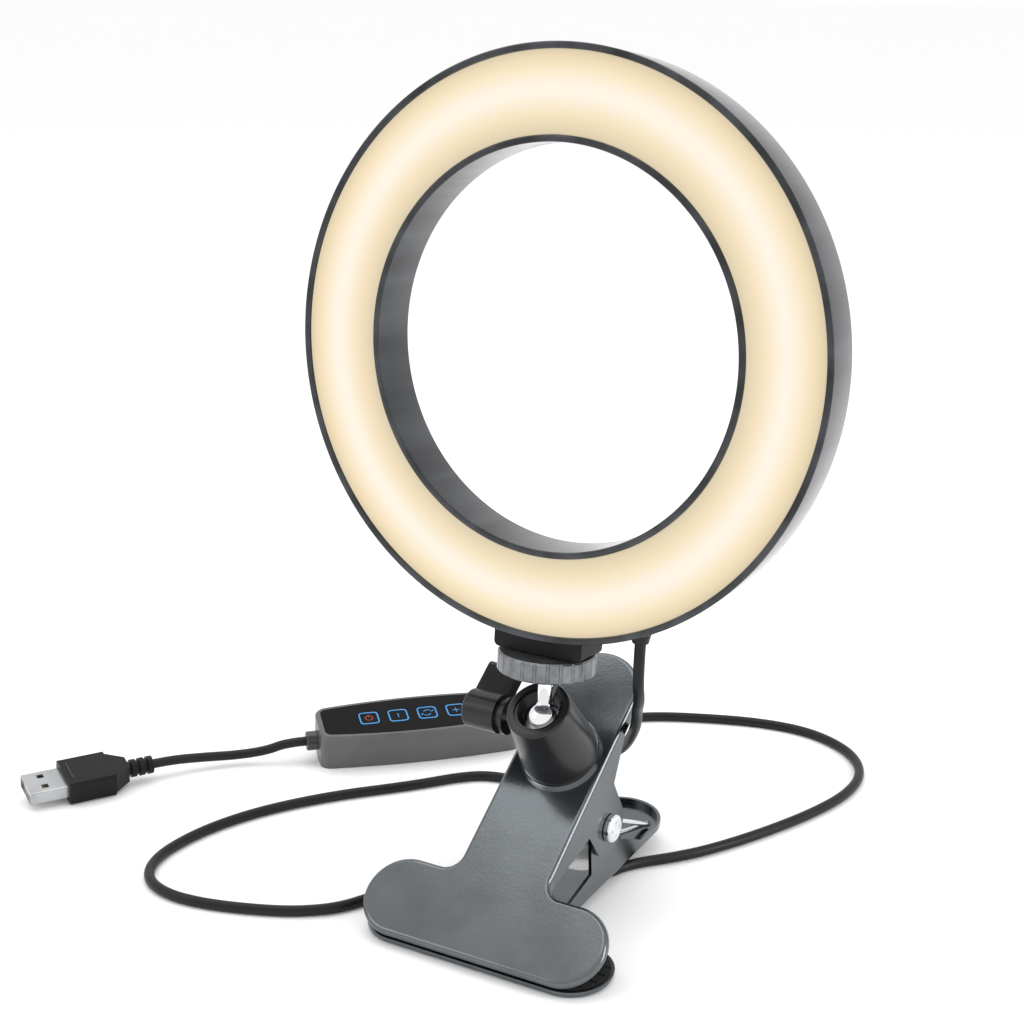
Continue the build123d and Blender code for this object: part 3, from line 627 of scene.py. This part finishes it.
def ring_diffuser():
    """Opal lens with a low crown across its width."""
    inner = INNER_RADIUS + RIM + DIFFUSER_GAP
    outer = FRONT_RADIUS - RIM - DIFFUSER_GAP
    low = RING_HALF - DIFFUSER_SINK - DIFFUSER_DEPTH
    high = RING_HALF - 0.35     # where the crown starts
    bevel = 0.3
    rise = 0.45
    steps = 16
    width = outer - inner - 2 * bevel
    crown = [(inner + bevel + width * i / steps, high + rise * math.sin(math.pi * i / steps))
             for i in range(steps + 1)]
    outline = [(inner, low), (inner, high - bevel)] + crown + [(outer, high - bevel), (outer, low)]
    piece("diffuser_lens", lathe("diffuser_lens", outline, 256), RING_PLACE, "diffuser_lit", "ring_head",
          ["diffuser"])


# ---- ball and stem ----
def ball_and_stem():
    ball = 5.5
    stem = 2.2
    fillet = 0.5            # ball to stem
    stem_end = 12.3         # above the ball's centre
    thread = 3.15           # 1/4 inch, 20 turns to the inch
    thread_depth = 0.45
    thread_start = 13.4
    pitch = 1.27
    turns = 9
    neck = math.degrees(math.acos((stem + fillet) / ball))
    outline = [(0, -ball)] + arc((0, 0), ball, -86, neck, 26)
    outline += [(stem, ball * math.sin(math.radians(neck)) + 0.9), (stem, stem_end), (thread, 12.8)]
    for i in range(turns):
        height = thread_start + i * pitch
        outline += [(thread, height), (thread - thread_depth, height + 0.6), (thread, height + 1.1)]
    outline += [(0, thread_start + turns * pitch)]
    piece("ball_and_stem", lathe("ball_and_stem", outline, 96), STEM_PLACE, "stud_chrome", "stud",
          ["ball_stud"], 60.0)


# ---- spring ----
def in_jaw(tilt, facing, side, reach, depth):
    """A point in a jaw: side, reach along it from the front edge and depth inside it, in millimetres."""
    along = Vector((0, math.cos(tilt), math.sin(tilt)))
    inward = Vector((0, -math.sin(tilt), math.cos(tilt))) * facing
    return PIVOT + (SIDE * side + along * (reach - PIVOT_REACH) + inward * (depth - PIVOT_DROP)) * MM


def torsion_spring():
    """A coil on the pivot, one leg in the upper jaw and one that turns back on itself in the lower jaw."""
    coil = 4.4
    wire = 0.8
    half = 10.4
    pitch = 1.8
    per_turn = 12
    start = math.radians(115)
    upper_leg = [(-half + 0.2, 88, 1.8), (-half + 0.2, 76, 7.0)]
    lower_leg = [(half, 68, 15.5), (half, 78, 10.2), (half, 89, 3.8), (half, 91, 2.6),
                 (half - 0.9, 92.4, 2.2), (half - 2.0, 91, 2.2), (half - 2.3, 84, 3.9),
                 (half - 2.4, 70, 9.0), (half - 2.4, 61, 13.6)]
    steps = int(2 * half / pitch * per_turn)
    route = [in_jaw(PLATE_TILT, -1, *point) for point in upper_leg]
    for i in range(steps + 1):
        angle = start + 2 * math.pi * i / per_turn
        side = -half + 2 * half * i / steps
        route.append(PIVOT + Vector((side, coil * math.cos(angle), coil * math.sin(angle))) * MM)
    route += [in_jaw(SOLE_TILT, 1, *point) for point in lower_leg]
    line = smooth_through("spring_route", route, 3)
    mesh = tube_mesh("torsion_spring_wire", line, wire * MM, 12)
    spring = piece("torsion_spring_wire", mesh, Matrix.Identity(4), "spring_steel", None,
                   ["torsion_spring"], 60.0)
    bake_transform(spring)


# ---- marks on the keys and a rib on the plug ----
def rounded_square(half, corner, count=5):
    points = []
    for turn, (sx, sy) in enumerate(((1, 1), (-1, 1), (-1, -1), (1, -1))):
        centre = (sx * (half - corner), sy * (half - corner))
        points += arc(centre, corner, 90 * turn, 90 * turn + 90, count)
    return points


def key_marks():
    """Printed outlines and signs, 0.07 mm proud of the keys."""
    blue, red = blue_ink(), red_ink()
    low, high = KEY_TOP - 0.03, KEY_TOP + 0.07
    outline = rounded_square(3.15, 1.2)
    outline_stroke = 0.5
    sign_stroke = 0.32
    ring = [(1.25 * math.cos(a), 1.25 * math.sin(a)) for a in (2 * math.pi * i / 28 for i in range(28))]
    sweep_up = arc((0.2, 0), 1.5, 20, 150, 10)
    sweep_down = arc((-0.2, 0), 1.5, 200, 330, 10)
    marks = {
        "power": [("ring", ring, True, red), ("bar", [(0, 0.4), (0, 1.9)], False, red)],
        "minus": [("bar", [(0, -1.1), (0, 1.1)], False, blue)],
        "mode": [("over", sweep_up, False, blue), ("under", sweep_down, False, blue),
                 ("tip", [(1.1, 1.3), (1.7, 0.4), (2.3, 1.2)], False, blue),
                 ("tail", [(-1.1, -1.3), (-1.7, -0.4), (-2.3, -1.2)], False, blue)],
        "plus": [("across", [(-1.2, 0), (1.2, 0)], False, blue), ("up", [(0, -1.2), (0, 1.2)], False, blue)],
    }
    for name, reach in KEY_PLACES.items():
        place = REMOTE_PLACE @ Matrix.Translation((reach * MM, 0, 0))
        mesh = ribbon(f"{name}_outline", outline, outline_stroke, low, high, True)
        piece(f"{name}_outline", mesh, place, blue, f"{name}_button")
        for part, points, closed, ink in marks[name]:
            label = f"{name}_{part}"
            mesh = ribbon(label, points, sign_stroke, low, high, closed)
            piece(label, mesh, place, ink, f"{name}_button")


def grip_rib():
    """The thin raised rib across the grip's top, near the shell."""
    reach, half, top = 14.6, 4.6, 8.2
    mesh = ribbon("grip_rib", [(reach, -half), (reach, half)], 0.35, top - 0.3, top, False)
    piece("grip_rib", mesh, PLUG_PLACE, "collar_plastic", "clamp_lower")


# ---- stage ----
def area_light(name, spot, aim, size, power):
    data = bpy.data.lights.new(name, "AREA")
    data.shape = "RECTANGLE"
    data.size, data.size_y = size
    data.energy = power
    thing = bpy.data.objects.new(name, data)
    thing.location = spot
    thing.rotation_euler = (Vector(aim) - Vector(spot)).to_track_quat("-Z", "Y").to_euler()
    bpy.context.scene.collection.objects.link(thing)


def card_floor():
    reach = 6.0
    mesh = bpy.data.meshes.new("floor")
    corners = [(-reach, -reach, 0), (reach, -reach, 0), (reach, reach, 0), (-reach, reach, 0)]
    mesh.from_pydata(corners, [], [(0, 1, 2, 3)])
    floor = bpy.data.objects.new("floor", mesh)
    bpy.context.scene.collection.objects.link(floor)
    material, shader = start_material("white_card")
    shader.inputs["Base Color"].default_value = (0.98, 0.98, 0.98, 1)
    shader.inputs["Roughness"].default_value = 0.9
    mesh.materials.append(material)


def studio():
    """An even white room with a soft light above, a strip at the right and a weak fill at the front left."""
    world = bpy.data.worlds.new("studio")
    world.use_nodes = True
    walls = world.node_tree.nodes["Background"]
    walls.inputs["Color"].default_value = (1, 1, 1, 1)
    walls.inputs["Strength"].default_value = 1.0
    bpy.context.scene.world = world
    bpy.context.scene.view_settings.view_transform = "Standard"
    area_light("overhead", (-0.25, 0.1, 1.1), (0, 0, 0.1), (0.9, 0.9), 3.5)
    area_light("right_strip", (0.9, 0.15, 0.45), (0, 0, 0.12), (0.25, 0.8), 3.5)
    area_light("left_front", (-0.7, -0.7, 0.7), (0, 0, 0.1), (0.5, 0.5), 1.2)


camera()
lead()
lead_to_plug()
dress_cad()
ring_housing()
ring_diffuser()
ball_and_stem()
torsion_spring()
key_marks()
grip_rib()
card_floor()
studio()
